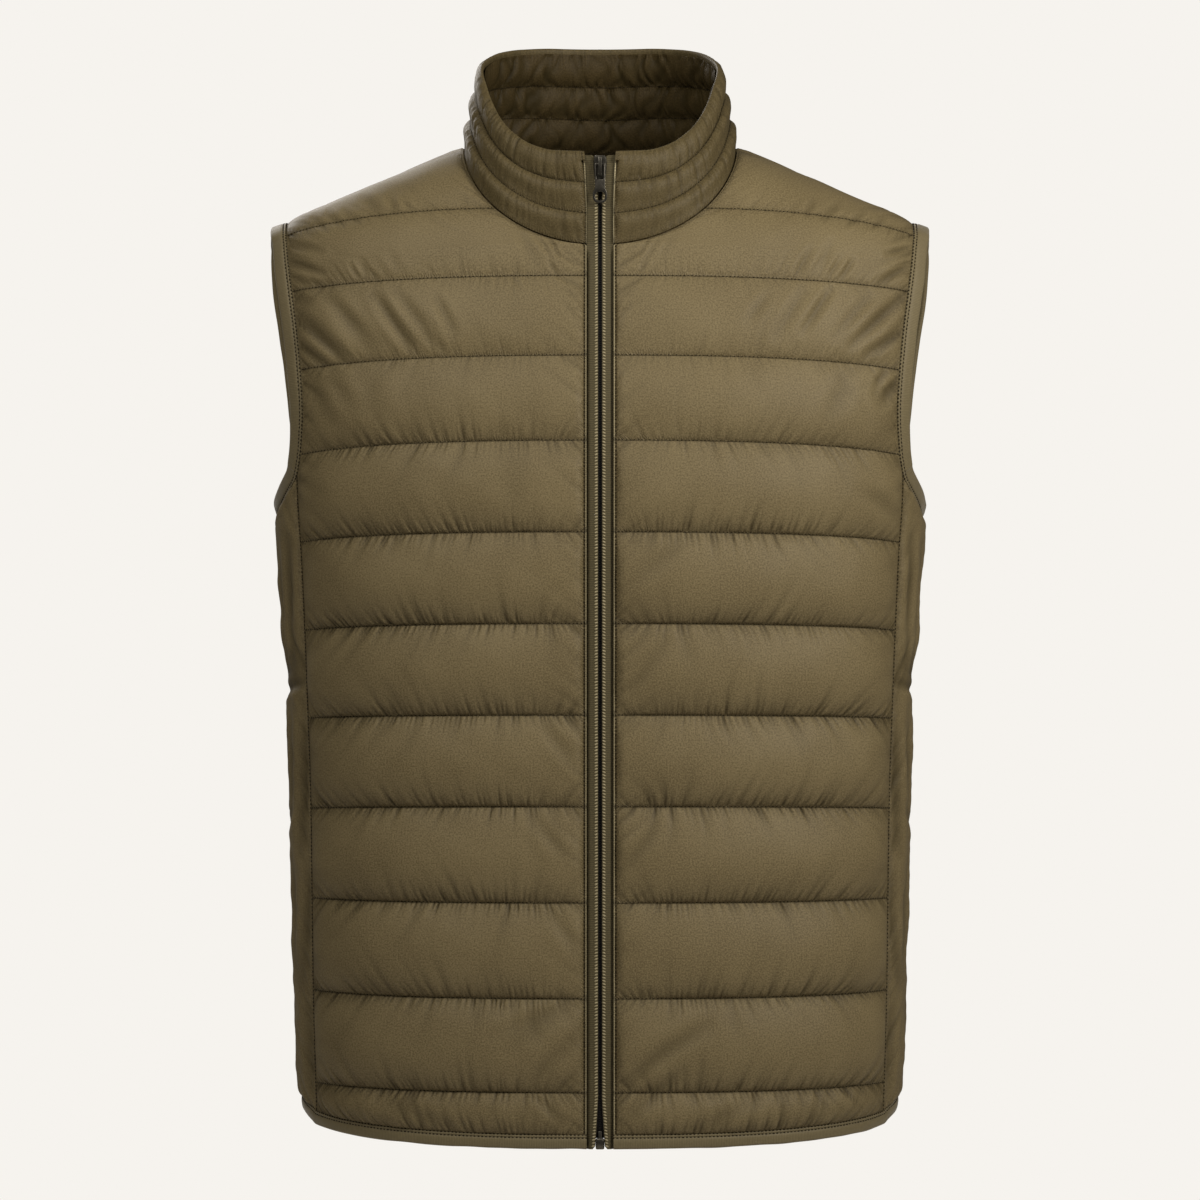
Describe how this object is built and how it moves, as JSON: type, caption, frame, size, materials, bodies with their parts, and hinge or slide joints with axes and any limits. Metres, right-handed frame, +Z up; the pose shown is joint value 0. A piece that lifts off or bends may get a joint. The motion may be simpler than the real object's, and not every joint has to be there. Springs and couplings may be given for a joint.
{
  "type": "puffer vest",
  "caption": "Sleeveless padded vest with horizontal quilting, plain side panels, stand collar and full-length front zip, held in its worn, hollow form.",
  "frame": {"origin": "midway between the shoulders' high points, at the height of the neck ends of the shoulder seams, where the garment rests on its wearer", "axes": "+Z up, -Y out of the front, +X to the wearer's left"},
  "size_m": [0.4484, 0.2586, 0.7309],
  "materials": {
    "quilted_shell": "downproof woven nylon, slight sheen",
    "binding_tape": "matte woven tape",
    "zip_tape": "matte woven tape",
    "zip_coil": "moulded coil",
    "zip_metal": "gunmetal"
  },
  "bodies": {
    "vest": {"front_right": "quilted_shell", "front_left": "quilted_shell", "back": "quilted_shell", "side_right": "quilted_shell", "side_left": "quilted_shell", "collar_outer": "quilted_shell", "collar_inner": "quilted_shell", "armhole_binding_right": "binding_tape", "armhole_binding_left": "binding_tape", "hem_binding": "binding_tape", "zip_tape_right": "zip_tape", "zip_tape_left": "zip_tape", "zip_chain": "zip_coil", "zip_slider": "zip_metal", "zip_box": "zip_metal"},
    "pull": {"zip_pull": "zip_metal"}
  },
  "joints": [
    {"name": "pull_swing", "type": "hinge", "parent": "vest", "child": "pull", "pos_m": [0, -0.1081, -0.02142], "axis": [-1, 0, 0], "range_deg": [0, 150]}
  ]
}
